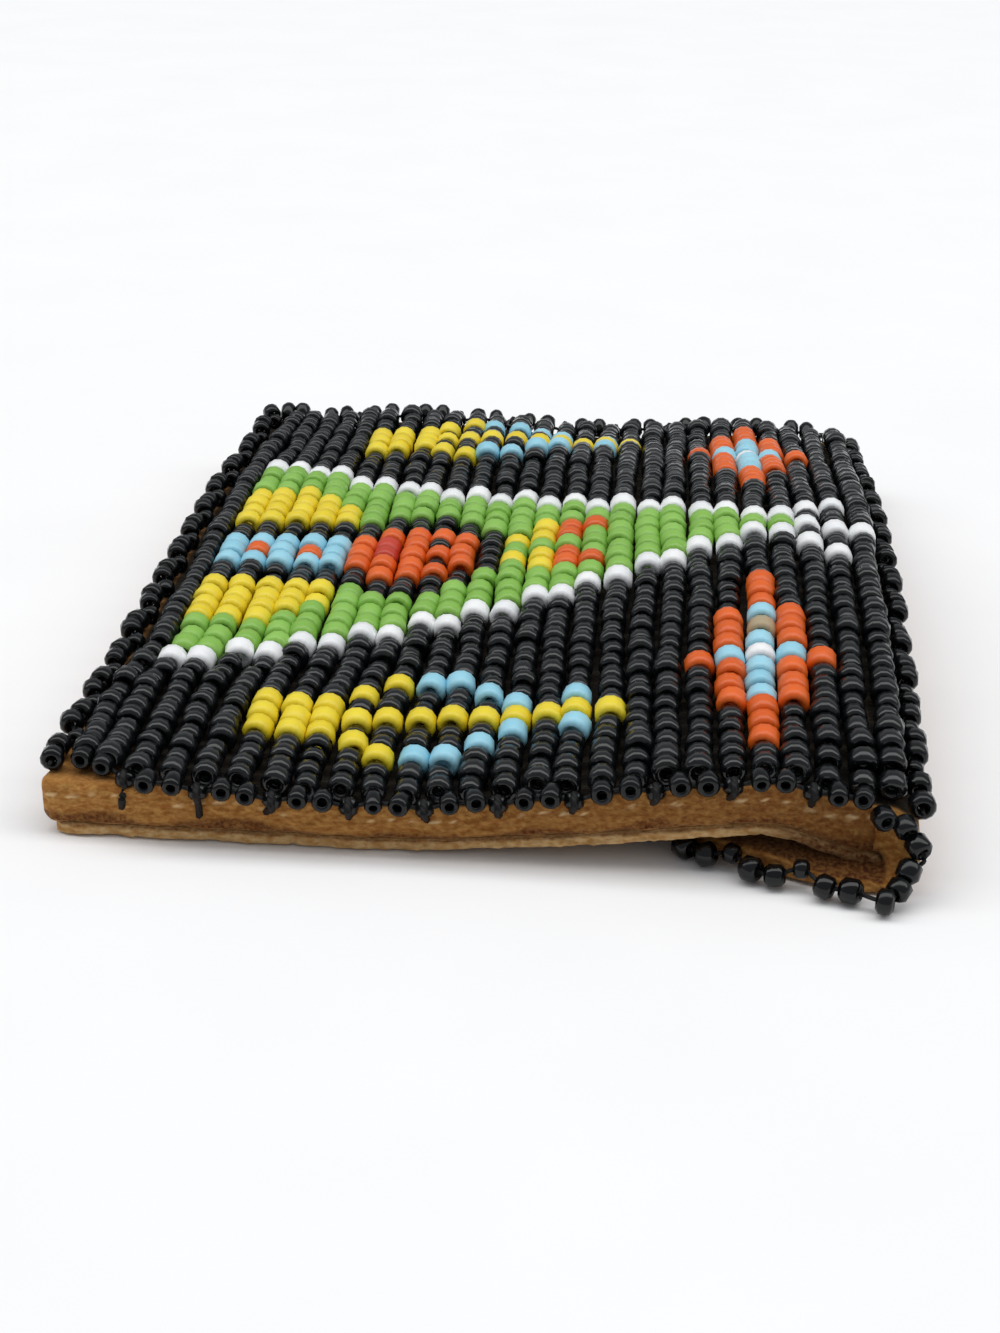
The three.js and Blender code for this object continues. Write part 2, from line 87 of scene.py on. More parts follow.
def smooth_rise(a, b, x):
    """0 before a, 1 after b, and 3t2 - 2t3 between them."""
    t = np.clip((x - a) / (b - a), 0, 1)
    return t * t * (3 - 2 * t)


def middle_share(y):
    """1 on the middle line, falling to 0 at both side seams as a parabola."""
    return np.maximum(0, 1 - (y / HALF_WIDTH) ** 2)


def edge_share(y, width):
    """1 at both side seams, falling smoothly to 0 at width inside them."""
    return smooth_rise(HALF_WIDTH - width, HALF_WIDTH - SIDE_MARGIN, np.abs(y))


def far_share(y):
    """0 on the near side, rising to 1 at the far side seam."""
    return smooth_rise(FAR_SIDE_START, HALF_WIDTH, y)


def mouth_lift(y):
    """Height of the mouth end over the table, a little more on the near side."""
    return MOUTH_LIFT - MOUTH_TWIST * y / HALF_WIDTH


def lift_share(x, y, lead):
    """How far the pouch has risen to its mouth: sooner along the far side, and sooner by lead."""
    far = far_share(y)
    start = LIFT_START - FAR_LEAD_START * far - MIDDLE_LEAD_START * lead * (1 - far)
    end = LIFT_END - FAR_LEAD_END * far - MIDDLE_LEAD_END * lead * (1 - far)
    return smooth_rise(start, end, x)


def far_wave(x, y):
    """The far side's own wave: its bottom corner curled up, then a dip half way to the mouth."""
    curl = FAR_CURL * smooth_rise(FAR_CURL_START, HALF_WIDTH, y)
    dip = FAR_DIP * smooth_rise(FAR_DIP_START, FAR_DIP_END, y)
    dip = dip * smooth_rise(*FAR_DIP_FALL, x) * (1 - smooth_rise(*FAR_DIP_RISE, x))
    return curl * (1 - smooth_rise(0, FAR_CURL_LENGTH, x)) - dip


def back_under(x, y):
    """Underside of the back: flat, then risen to the mouth, with its near mouth corner sagging."""
    m = middle_share(y)
    sag = NEAR_SAG * smooth_rise(NEAR_SAG_START, NEAR_SAG_END, x)
    sag = sag + NEAR_DROOP * smooth_rise(NEAR_DROOP_START, MOUTH_X, x)
    sag = sag * edge_share(y, NEAR_DROOP_WIDTH)
    risen = (mouth_lift(y) + MIDDLE_LIFT * m) * lift_share(x, y, m)
    return risen - sag * (1 - far_share(y)) + far_wave(x, y)


def back_top(x, y):
    """Top of the back, pinched down along the three sewn edges and a little thinner between."""
    sewn = np.maximum(edge_share(y, SEAM_DEPTH), 1 - smooth_rise(SEAM_EDGE, SEAM_DEPTH, x))
    return back_under(x, y) + BACK_THICKNESS - SEAM_PINCH * sewn - MIDDLE_THINNING * middle_share(y)


def far_pull(x, y):
    """How far the sewing has drawn the far bottom corner in towards the mouth."""
    pull = FAR_PULL * smooth_rise(FAR_PULL_START, HALF_WIDTH, y)
    return pull * (1 - smooth_rise(0, FAR_PULL_LENGTH, x))


def hide_half_width(distance):
    """Half width of a hide at a distance from its bottom edge, its corners quarter circles."""
    inset = np.clip(1 - distance / CORNER_RADIUS, 0, 1)
    return HALF_WIDTH - CORNER_RADIUS * (1 - np.sqrt(1 - inset**2))


def unevenness(points, size, seed, waves=16):
    """Smooth random field: a sum of sine waves about size mm long, in seeded directions."""
    draw = np.random.default_rng(seed)
    ways = draw.normal(size=(waves, 3))
    ways /= np.linalg.norm(ways, axis=1, keepdims=True)
    ways *= 2 * np.pi / size * draw.uniform(0.6, 1.5, (waves, 1))
    phases = draw.uniform(0, 2 * np.pi, waves)
    return np.sin(np.asarray(points) @ ways.T + phases).sum(-1) * math.sqrt(2 / waves)


def section_loop(across, rim):
    """Once round a hide's section: c from -1 to 1 across it, h from 1 on top to -1 below."""
    sweep = np.sin(np.linspace(-1, 1, across) * np.pi / 2)
    drop = np.linspace(1, -1, rim + 2)[1:-1]
    side = np.ones(rim)
    flat = np.ones(across)
    c = np.concatenate([sweep, side, sweep[::-1], -side])
    return c, np.concatenate([flat, drop, -flat, drop[::-1]])


def slab(top, under, half, closing, loop, fuzz, seed):
    """A hide between two surfaces (x, z) of y, joined round a closed section at each row.

    h shrinks by closing at the two ends, and the cut side edges are rounded and furred by fuzz.
    """
    c, h = loop
    h = closing[:, None] * h[None, :]
    y = c[None, :] * (half[:, None] - EDGE_ROUNDING * h**6)
    (xt, zt), (xu, zu) = top(y), under(y)
    share = (1 + h) / 2
    points = np.stack([xu + (xt - xu) * share, y, zu + (zt - zu) * share], -1)
    cut = np.abs(c)[None, :] > FULL
    waves = unevenness(points * [0.6, 0.6, 1.2], LONG_FUZZ, seed)
    waves = waves + SHORT_FUZZ_SHARE * unevenness(points, SHORT_FUZZ, seed + 1)
    points[..., 1] += np.sign(c)[None, :] * cut * fuzz * waves
    return points, h, cut & (np.abs(h) < FULL)


def ring_faces(rows, around):
    """Quads between each closed ring of a grid and the next."""
    i, j = np.meshgrid(np.arange(rows - 1), np.arange(around), indexing="ij")
    k = (j + 1) % around
    corners = [i * around + j, i * around + k, (i + 1) * around + k, (i + 1) * around + j]
    return np.stack(corners, -1).reshape(-1, 4)


def add_piece(name, points, faces, materials, marks=None, kinds=None):
    """A mesh object at the origin from points in mm, with named float marks on its points."""
    mesh = bpy.data.meshes.new(name)
    mesh.from_pydata(in_frame(points).reshape(-1, 3).tolist(), [], faces.tolist())
    for material in materials:
        mesh.materials.append(material)
    if kinds is not None:
        mesh.polygons.foreach_set("material_index", np.asarray(kinds, np.int32).ravel())
    for label, values in (marks or {}).items():
        mark = mesh.attributes.new(label, "FLOAT", "POINT")
        mark.data.foreach_set("value", np.asarray(values, np.float32).ravel())
    work = bmesh.new()
    work.from_mesh(mesh)
    bmesh.ops.remove_doubles(work, verts=work.verts, dist=1e-6)
    bmesh.ops.recalc_face_normals(work, faces=work.faces)
    work.to_mesh(mesh)
    work.free()
    mesh.polygons.foreach_set("use_smooth", np.ones(len(mesh.polygons), bool))
    piece = bpy.data.objects.new(name, mesh)
    bpy.context.scene.collection.objects.link(piece)
    return piece


def paint(code):
    """sRGB hex code to linear red, green, blue and alpha."""
    share = np.array([int(code[i : i + 2], 16) for i in (1, 3, 5)]) / 255
    linear = np.where(share <= 0.04045, share / 12.92, ((share + 0.055) / 1.055) ** 2.4)
    return (*linear.tolist(), 1.0)


def set_inputs(tree, node, inputs):
    """Sets each named or numbered input to a value, or links it to the output of a node."""
    for socket, value in inputs.items():
        if isinstance(value, bpy.types.NodeSocket):
            tree.links.new(value, node.inputs[socket])
        else:
            node.inputs[socket].default_value = value


def add_node(tree, kind, inputs=None, **settings):
    """Adds a shader node with its settings and inputs."""
    made = tree.nodes.new(kind)
    for label, value in settings.items():
        setattr(made, label, value)
    set_inputs(tree, made, inputs or {})
    return made


def new_material(name):
    """A material with its node tree, its surface shader and the coordinates of its object."""
    material = bpy.data.materials.new(name)
    material.use_nodes = True
    tree = material.node_tree
    place = add_node(tree, "ShaderNodeTexCoord").outputs["Object"]
    return material, tree, tree.nodes["Principled BSDF"], place


def noise(tree, place, scale, detail):
    """Cloudy noise from 0 to 1, with scale lumps to a metre."""
    inputs = {"Vector": place, "Scale": scale, "Detail": detail}
    return add_node(tree, "ShaderNodeTexNoise", inputs).outputs["Fac"]


def mark_on(tree, label):
    """The value of a named mark on the points of the mesh."""
    return add_node(tree, "ShaderNodeAttribute", attribute_name=label).outputs["Fac"]


def stretched(tree, value, low, high, to_low, to_high):
    """Value taken from low..high to to_low..to_high, and held at both ends."""
    inputs = {0: value, 1: low, 2: high, 3: to_low, 4: to_high}
    return add_node(tree, "ShaderNodeMapRange", inputs).outputs[0]


def colour_between(tree, share, low, high):
    """Colour that goes from low to high as share goes from 0 to 1."""
    inputs = {0: share, 6: low, 7: high}
    return add_node(tree, "ShaderNodeMix", inputs, data_type="RGBA").outputs[2]


def suede(name, face, shade, core, pale, seam):
    """Vegetable-tanned suede: a matt nap of short fibres that takes light at a slant.

    Blotches of 4 mm and a nap of 0.3 mm break the colour up. The cut edge is paler in places,
    with fibres about 0.3 mm thick lying along it, redder where two hides burnish each other or
    where worn by handling, and pricked pale at the needle holes. The same dark red is painted
    shade on the inner face of the fold and flap, under the pouch. Under the beads the hide is
    near black: partly the thread's dye and black backing, partly painted shade in the deep gaps
    between the lanes.
    """
    material, tree, shader, place = new_material(name)
    along = add_node(tree, "ShaderNodeMapping", {"Vector": place, "Scale": (0.5, 0.5, 1.0)})
    blotch = noise(tree, place, 250, 3.0)
    nap = noise(tree, place, 3300, 5.0)
    fibres = noise(tree, along.outputs[0], 3300, 6.0)
    blotched = stretched(tree, blotch, 0.35, 0.65, 0.0, 1.0)
    skin = colour_between(tree, blotched, paint(shade), paint(face))
    tufts = stretched(tree, nap, 0.38, 0.66, 0.0, 0.55)
    napped = colour_between(tree, tufts, skin, paint(pale))
    streaks = stretched(tree, fibres, 0.36, 0.66, 0.0, 0.9)
    cut = colour_between(tree, streaks, paint(core), paint(pale))
    edged = colour_between(tree, mark_on(tree, "rim"), napped, cut)
    ragged = stretched(tree, nap, 0.32, 0.6, 1.0, 0.5)
    # The seam mark darkens the burnished joints and also paints shade on the inner face of the fold
    # and flap.
    burnt_and_shaded = add_node(
        tree, "ShaderNodeMath", {0: mark_on(tree, "seam"), 1: ragged}, operation="MULTIPLY"
    )
    burnished_and_shaded = colour_between(tree, burnt_and_shaded.outputs[0], edged, paint(seam))
    pricked = colour_between(tree, mark_on(tree, "prick"), burnished_and_shaded, paint("#e6c796"))
    # Painted shade and black backing: near black under the bead panel and in the gaps between
    # lanes.
    colour = colour_between(tree, mark_on(tree, "backing_and_shade"), pricked, paint("#0b0908"))
    relief = add_node(tree, "ShaderNodeMath", {0: nap, 1: fibres}, operation="ADD").outputs[0]
    bump = add_node(
        tree, "ShaderNodeBump", {"Height": relief, "Strength": 0.6, "Distance": 0.0002}
    )
    look = {
        "Base Color": colour,
        "Normal": bump.outputs[0],
        "Roughness": 0.92,
        "Specular IOR Level": 0.2,
        "Sheen Weight": 0.2,
        "Sheen Roughness": 0.5,
        "Sheen Tint": paint("#e8c79a"),
    }
    set_inputs(tree, shader, look)
    return material


SPLIT_SUEDE = suede("split_suede", "#b98c55", "#a5763e", "#ad7f48", "#cfae7c", "#5c2a0e")


def back_hide():
    """Rows along the hide, then the half turn of the nose; the far row closes on itself."""
    run, turn = np.linspace(EDGE_ROUNDING, MOUTH_X, 150), np.linspace(90, -90, 13)
    level = len(EDGE_CAP) + len(run)
    x = np.concatenate([EDGE_ROUNDING * EDGE_CAP**6, run, np.full(len(turn), MOUTH_X)])[:, None]
    bend = np.radians(np.concatenate([np.full(level, 90.0), turn]))[:, None]
    past = (np.arange(len(x)) >= level)[:, None]
    closing = np.concatenate([EDGE_CAP, np.ones(len(run) + len(turn))])

    def top(y):
        high, low = back_top(x, y), back_under(x, y)
        reach = NOSE_REACH + (NOSE_END_REACH - NOSE_REACH) * edge_share(y, NEAR_DROOP_WIDTH)
        round_x = MOUTH_X + NOSE_GAP + reach * np.cos(bend)
        round_z = (high + low) / 2 + (high - low) / 2 * np.sin(bend)
        return np.where(past, round_x, x + far_pull(x, y)), np.where(past, round_z, high)

    def under(y):
        return np.where(past, MOUTH_X + NOSE_GAP, x + far_pull(x, y)), back_under(x, y)

    loop = section_loop(72, 9)
    half = hide_half_width(x[:, 0])
    points, h, cut = slab(top, under, half, closing, loop, BACK_FUZZ, 11)
    bottom = x < EDGE_ROUNDING
    rim = cut | bottom | past
    sewn = smooth_rise(0.2, 1.0, h) * (cut | bottom) * ~past
    handled = smooth_rise(HANDLED_START, HANDLED_END, x) * (cut | past)
    marks = {"rim": rim + 0 * h, "seam": np.maximum(sewn, handled)}
    return add_piece("back_hide", points, ring_faces(len(x), len(loop[0])), [SPLIT_SUEDE], marks)


back = back_hide()
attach(back, "pouch")
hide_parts("back_leather")

# Front hide: the thick tanned suede that carries the beadwork. Its cut edge shows on three
# sides, sewn down to the back, and it is pillowed over the empty pocket. At the mouth it runs
# on into the fold, and the tight edging pulls its two corners there down.

FRONT_THICKNESS, FRONT_FUZZ = 1.9, 0.06
FRONT_BOTTOM_OVERHANG = 0.4
CORNER_TAB, CORNER_TAB_START, CORNER_TAB_LENGTH = 0.55, 36.5, 6.0
SIDE_GAP, BOTTOM_GAP = 0.1, 0.9
FAR_GAP, FAR_GAP_SIDE, FAR_GAP_START, FAR_GAP_END = 0.9, -10.0, 18.0, 40.0
BOTTOM_SEAM_FLAT, BOTTOM_SEAM_END = 4.0, 21.0
PILLOW_BOTTOM, PILLOW_MOUTH, PILLOW_POWER, PILLOW_SKEW = 0.8, 3.7, 2.0, -0.05
PILLOW_DROOP, PILLOW_DROOP_LENGTH = 1.0, 10.0
FAR_SWELL = 0.75
SWELL_RISE, SWELL_FALL = (4.0, 14.0), (24.0, 40.0)
SWELL_NEAR_SIDE, SWELL_FAR_SIDE = (-14.0, 16.0), (20.0, 37.0)
CORNER_DROOP, CORNER_DROOP_START, CORNER_DROOP_WIDTH, FAR_DROOP_SHARE = 1.4, 53.0, 6.0, 0.35
SEAM_CLEARANCE = 0.04
PANEL_START, PANEL_HALF = 1.5, 39.775
BARE_CORNER, BARE_CORNER_START, BARE_CORNER_END = 2.9, 2.0, 8.0
# Near black under the bead panel: the black thread and backing, and painted shade in the gaps
# between lanes.
BACKING_FADE_START, BACKING_FADE_END, DARKENED_SIDE = 0.2, 0.8, 0.9
SEAM_WANDER, SEAM_WANDER_SIZE = 0.16, 7.0
PRICK_SPACING, PRICK_HEIGHT, PRICK_WIDTH, PRICK_STRENGTH = 1.6, 0.28, 0.07, 0.8
LOWEST_PRICKED = -0.1
WORN_EDGE, WORN_EDGE_START = 0.65, 16.0
TAN_SUEDE = suede("tan_suede", "#9c6a31", "#885624", "#905a25", "#bb8a4b", "#481c08")


def front_under(x, y):
    """Underside of the front: over the back by the seam gap, plus the pillow and its far swell."""
    rise = PILLOW_BOTTOM + (PILLOW_MOUTH - PILLOW_BOTTOM) * smooth_rise(0, LIFT_END, x)
    past = np.maximum(0, (x - LIFT_END + PILLOW_DROOP_LENGTH / 2) / PILLOW_DROOP_LENGTH)
    across = middle_share(y) ** PILLOW_POWER * (1 + PILLOW_SKEW * y / HALF_WIDTH)
    pillow = (rise - PILLOW_DROOP * past**2) * across
    swell = FAR_SWELL * smooth_rise(*SWELL_RISE, x) * (1 - smooth_rise(*SWELL_FALL, x))
    swell = swell * smooth_rise(*SWELL_NEAR_SIDE, y) * (1 - smooth_rise(*SWELL_FAR_SIDE, y))
    pillow = pillow + swell
    seam = SIDE_GAP + BOTTOM_GAP * (1 - smooth_rise(BOTTOM_SEAM_FLAT, BOTTOM_SEAM_END, x))
    far = FAR_GAP * smooth_rise(FAR_GAP_SIDE, HALF_WIDTH, y)
    far = far * (1 - smooth_rise(FAR_GAP_START, FAR_GAP_END, x))
    risen = mouth_lift(y) * lift_share(x, y, 0) + far_wave(x, y)
    return risen + BACK_THICKNESS + seam + far + pillow


def front_top(x, y):
    """Top of the front before its mouth corners are pulled down."""
    return front_under(x, y) + FRONT_THICKNESS


def hide_top(x, y):
    """Top of the front hide itself, drooping at its mouth corners, the near one most."""
    droop = CORNER_DROOP * smooth_rise(CORNER_DROOP_START, MOUTH_X, x)
    droop = droop * (1 - (1 - FAR_DROOP_SHARE) * far_share(y))
    return front_top(x, y) - droop * edge_share(y, CORNER_DROOP_WIDTH)


# Where the hide is painted near black under the beads: black backing and painted shade together.
def panel_backing_and_shade(x, y):
    """1 under the bead panel, with a soft edge outside it and the near bottom corner left bare."""
    bare = BARE_CORNER * (1 - smooth_rise(BARE_CORNER_START, BARE_CORNER_END, x)) * (y < 0)
    out = np.abs(y) + bare
    inside = 1 - smooth_rise(PANEL_HALF + BACKING_FADE_START, PANEL_HALF + BACKING_FADE_END, out)
    return smooth_rise(PANEL_START - BACKING_FADE_END, PANEL_START, x) * inside


def front_hide():
    """Rows along the hide, its underside sewn down to the back along the three closed edges."""
    run = np.linspace(EDGE_ROUNDING, MOUTH_X + FRONT_BOTTOM_OVERHANG, 160)
    x = np.concatenate([EDGE_ROUNDING * EDGE_CAP**6, run, run[-1:]])[:, None]
    x = x - FRONT_BOTTOM_OVERHANG
    closing = np.concatenate([EDGE_CAP, np.ones(len(run)), [0]])

    def along(y):
        tab = CORNER_TAB * smooth_rise(CORNER_TAB_START, HALF_WIDTH, -y)
        tab = tab * (1 - smooth_rise(0, CORNER_TAB_LENGTH, x + FRONT_BOTTOM_OVERHANG))
        return x - tab + far_pull(x, y)

    def top(y):
        return along(y), hide_top(x, y)

    def under(y):
        inward = np.minimum(HALF_WIDTH - np.abs(y), x + FRONT_BOTTOM_OVERHANG)
        sewn = 1 - smooth_rise(SEAM_DEPTH / 2, SEAM_DEPTH, inward)
        free = front_under(x, y)
        down = back_top(np.maximum(x, 0), y) + SEAM_CLEARANCE
        return along(y), free + (down - free) * sewn

    loop = section_loop(72, 14)
    half = hide_half_width(x[:, 0] + FRONT_BOTTOM_OVERHANG)
    points, h, cut = slab(top, under, half, closing, loop, FRONT_FUZZ, 21)
    rim = cut | (x < EDGE_ROUNDING - FRONT_BOTTOM_OVERHANG)
    wander = SEAM_WANDER * unevenness(points * [1, 1, 0], SEAM_WANDER_SIZE, 23)
    worn = WORN_EDGE * smooth_rise(WORN_EDGE_START, MOUTH_X, x)
    seam = np.maximum(smooth_rise(0.35, 0.85, -h + wander), worn) * rim
    dash = smooth_rise(0.2, 0.5, np.cos(2 * np.pi * points[..., 0] / PRICK_SPACING))
    row = np.exp(-(((h - PRICK_HEIGHT - wander) / PRICK_WIDTH) ** 2))
    prick = PRICK_STRENGTH * dash * row * cut * (wander > LOWEST_PRICKED)
    # Painted shade with the black backing, on the top face under the beads.
    backing_and_shade = panel_backing_and_shade(points[..., 0], points[..., 1]) * (h > DARKENED_SIDE)
    faces = ring_faces(len(x), len(loop[0]))
    marks = {"rim": rim + 0 * h, "seam": seam, "prick": prick, "backing_and_shade": backing_and_shade}
    return add_piece("front_hide", points, faces, [TAN_SUEDE], marks)


front = front_hide()
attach(front, "pouch")
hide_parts("front_leather")

# Fold and flap: the same tan hide turns down over the mouth and comes back under the pouch as
# a rounded tongue, folded a little askew. Its inner face under the pouch and inside the fold is
# darker with painted shade.

FOLD_GAP = 0.3
FOLD_X = MOUTH_X + FOLD_GAP
FOLD_REACH, FOLD_MIDDLE_REACH = 3.0, 0.5
FLAP_UNDERSIDE, FLAP_THICKNESS = 0.1, 1.6
FOLD_THICKENING, THICKENING_START = 0.3, -60.0
SLIT_END_WIDTH, SLIT_END_REACH = 7.0, 0.5
NEAR_PARING, NEAR_PARING_START, NEAR_PARING_END = 0.75, 53.0, 58.5
FLAP_LENGTH, FLAP_SKEW = 29.0, -2.8
FLAP_SIDE_INSET = 0.3
FLAP_HALF = HALF_WIDTH - FLAP_SIDE_INSET
FLAP_SIDE_POWER, FLAP_TIP_POWER = 1.6, 2.33
FOLD_DARKENING_END, FOLD_UPPER_LOW, FOLD_UPPER_HIGH = 64.1, 2.5, 4.5
# Painted shade on the inner face of the flap, from 34 mm to 50 mm up the pouch and on inside the
# fold.
INSIDE_SHADE_START, INSIDE_SHADE_END = 34.0, 50.0


def fold_skew(degrees):
    """How far across the hide has run askew by this angle of the fold."""
    return FLAP_SKEW * smooth_rise(90, -90, degrees)


def fold_point(degrees, y, offset):
    """Half ellipse over the mouth edge grown by offset, as (x, z); 90 is its top, -90 its foot."""
    angle = np.radians(degrees)
    high = hide_top(MOUTH_X, y)
    rise = (high - FLAP_UNDERSIDE) / 2 + offset
    reach = FOLD_REACH + FOLD_MIDDLE_REACH * middle_share(y) + offset
    return FOLD_X + reach * np.cos(angle), (high + FLAP_UNDERSIDE) / 2 + rise * np.sin(angle)


def fold_and_flap():
    """Rows round the fold, then rows to the flap's tip along |u/l|^p + |y/w|^q = 1."""
    fold_rows, flap_rows = 34, 60
    degrees = np.concatenate([[90.0, 90.0], np.linspace(90, -90, fold_rows)])
    degrees = np.concatenate([degrees, np.full(flap_rows, -90.0)])
    turn = np.concatenate([np.zeros(fold_rows + 2), np.linspace(0, np.pi / 2, flap_rows)])
    back_x = np.concatenate([[MOUTH_X, MOUTH_X], np.full(fold_rows, FOLD_X), np.zeros(flap_rows)])
    closing = np.concatenate([[0], np.ones(fold_rows + flap_rows), [0.0]])
    length = FLAP_LENGTH * np.sin(turn) ** (2 / FLAP_SIDE_POWER)
    half = np.where(turn > 0, FLAP_HALF * np.cos(turn) ** (2 / FLAP_TIP_POWER), HALF_WIDTH)
    half[fold_rows + 2] = FLAP_HALF
    flap = (np.arange(len(turn)) >= fold_rows + 2)[:, None]

    def placed(y, offset):
        x, z = fold_point(degrees[:, None], y, offset)
        return np.where(flap, MOUTH_X - length[:, None], x - FOLD_X + back_x[:, None]), z

    def outside(y):
        return placed(y, 0.0)

    def inside(y):
        angle = degrees[:, None]
        thickening = FOLD_THICKENING * smooth_rise(THICKENING_START, 90, angle)
        x, z = placed(y, -FLAP_THICKNESS - thickening)
        paring = NEAR_PARING * edge_share(y, SLIT_END_WIDTH) * (y < 0)
        z = z - paring * smooth_rise(NEAR_PARING_START, NEAR_PARING_END, x) * flap
        low = FLAP_UNDERSIDE + FLAP_THICKNESS - paring
        high = back_top(MOUTH_X, y) + SEAM_CLEARANCE
        slit_x = back_x[:, None] + SLIT_END_REACH * np.cos(np.radians(angle))
        slit_z = (high + low) / 2 + (high - low) / 2 * np.sin(np.radians(angle))
        closed = edge_share(y, SLIT_END_WIDTH) * ~flap
        return x + (slit_x - x) * closed, z + (slit_z - z) * closed

    loop = section_loop(72, 11)
    points, h, cut = slab(outside, inside, half, closing, loop, FRONT_FUZZ, 31)
    points[..., 1] += fold_skew(degrees)[:, None]
    x, y, z = (points[..., axis] for axis in range(3))
    upper = smooth_rise(FOLD_UPPER_LOW, FOLD_UPPER_HIGH, z)
    # Painted shade: the inner face of the flap under the pouch and inside the fold, where light
    # does not reach, in the seam colour.
    deep = smooth_rise(INSIDE_SHADE_START, INSIDE_SHADE_END, x)
    seam = smooth_rise(0.5, 1.0, -h) * cut * upper + smooth_rise(0.8, 1.0, -h) * deep * ~cut
    # Painted shade with the black backing, on the top of the fold under the beads.
    backing_and_shade = panel_backing_and_shade(x, y) * (h > DARKENED_SIDE) * (x < FOLD_DARKENING_END) * upper
    faces = ring_faces(len(turn), len(loop[0]))
    marks = {"rim": cut, "seam": seam, "backing_and_shade": backing_and_shade}
    return add_piece("flap_hide", points, faces, [TAN_SUEDE], marks)


flap = fold_and_flap()
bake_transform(flap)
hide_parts("fold_leather", "flap_leather")

# Bead lanes: twenty-six strings of opaque glass seed beads, 43 to a string, couched down side
# by side. Coloured beads are a size larger than the black ones, and no two are quite alike.
# The figures are counted out in lanes and rows: a tent, two stars and two arrows on black.

LANE_COUNT, LANE_PITCH, FIRST_LANE = 26, 2.35, 3.4
ROW_COUNT = 43
SEAT_GAP = 0.03
NEAR_STRETCH, NEAR_STRETCH_START = 0.5, 33.0
LANE_SPREAD, LANE_SPREAD_START, LANE_SPREAD_END = 1.65, 17.0, 28.0
LANE_SPREAD_RISE, LANE_SPREAD_FALL = (-1.0, 5.5), (2.0, 36.0)
CORNER_REACH = 0.75
BLACK_RADIUS, COLOUR_RADIUS = 1.06, 1.2
BLACK_LENGTH, COLOUR_LENGTH, COLOUR_STRETCH = 0.92, 0.98, 1.2
LANE_SWAY, LANE_SWAY_LENGTH = 0.1, 22.0
ACROSS_SCATTER, ALONG_SCATTER, BEAD_SINK, SINK_SCATTER = 0.06, 0.12, 0.05, 0.05
SIZE_SCATTER, SMALLEST, LARGEST, LEAN_SCATTER = 0.06, 0.86, 1.12, 0.08
TENT_FIRST, TENT_LAST, TENT_HALF_ROWS, FLOOR_LAST = 1, 22, 11, 5
DISC_LANE, DISC_RADIUS = 8, 2.5
RING_LANE, RING_LANE_RADIUS, RING_ROW_RADIUS = 8.3, 3.2, 4.4
STAR_LANE, STAR_ROW = 21, 13
ARROW_ROW, ARROW_TAIL, ARROW_TIP = 16, 5, 16
GLASS_COLOURS = {
    "black": ("#0a0c0d", "#15181a", 0.16),
    "white": ("#eceef0", "#fafbfb", 0.3),
    "green": ("#7eb245", "#92c65a", 0.35),
    "yellow": ("#e6cc20", "#f4de38", 0.35),
    "orange": ("#d65810", "#ee6a20", 0.35),
    "red": ("#b5301e", "#c8402a", 0.35),
    "sky_blue": ("#8ccbe0", "#a4dcee", 0.35),
    "speckled": ("#93a596", "#c09a6a", 0.4),
    "glossy_black": ("#050607", "#0d0f11", 0.14, 0.36),
}
BLACK, WHITE, GREEN, YELLOW, ORANGE, RED, SKY_BLUE, SPECKLED, GLOSSY_BLACK = range(9)
random = np.random.default_rng(77)


def seed_bead_glass(name, shade, light, roughness, gloss=0.5):
    """Opaque drawn glass, cut and tumbled: a smooth skin with soft highlights on rounded lips.

    Each bead has a tone of its own between two near colours, and faint clouds of 0.6 mm. The
    index of soda glass, about 1.5, is matched to the dull skin of these beads.
    """
    material, tree, shader, place = new_material(name + "_bead_glass")
    mixing = {0: noise(tree, place, 1600, 2.0), 1: 0.4, 2: mark_on(tree, "tone")}
    mixed = add_node(tree, "ShaderNodeMath", mixing, operation="MULTIPLY_ADD").outputs[0]
    look = {
        "Base Color": colour_between(tree, mixed, paint(shade), paint(light)),
        "Roughness": stretched(tree, mixed, 0.0, 1.0, roughness - 0.06, roughness + 0.08),
        "IOR": 1.47,
        "Specular IOR Level": gloss,
    }
    set_inputs(tree, shader, look)
    return material


BEAD_GLASS = [seed_bead_glass(name, *look) for name, look in GLASS_COLOURS.items()]

# Half lengths and radii, as shares, from the hole over the lip to the side of a drilled bead
BEAD_LIP = np.array([(0.7, 0.37), (0.98, 0.66), (0.58, 1.0)])
BEAD_WALL = np.concatenate([BEAD_LIP * [-1, 1], BEAD_LIP[::-1]])
BEAD_SIDES = 12


def spokes(axes, aside, sides):
    """Unit spokes at even angles t round each axis: cos t right + sin t up, right off aside."""
    right = np.cross(axes, aside)
    right /= np.linalg.norm(right, axis=1, keepdims=True)
    up = np.cross(right, axes)
    spin = 2 * np.pi * np.arange(sides) / sides
    across = np.cos(spin)[None, :, None] * right[:, None, :]
    return across + np.sin(spin)[None, :, None] * up[:, None, :]


def beads(centres, axes, radii, lengths):
    """Drilled beads: the wall profile turned round each bead's axis. Gives (bead, point, 3)."""
    axes = axes / np.linalg.norm(axes, axis=1, keepdims=True)
    half, wide = (size[:, None, None, None] for size in (lengths / 2, radii))
    along, out = (share[None, :, None, None] for share in BEAD_WALL.T)
    along = along * half * axes[:, None, None, :]
    out = out * wide * spokes(axes, [0.2, 0.1, 1.0], BEAD_SIDES)[:, None, :, :]
    return (centres[:, None, None, :] + along + out).reshape(len(centres), -1, 3)


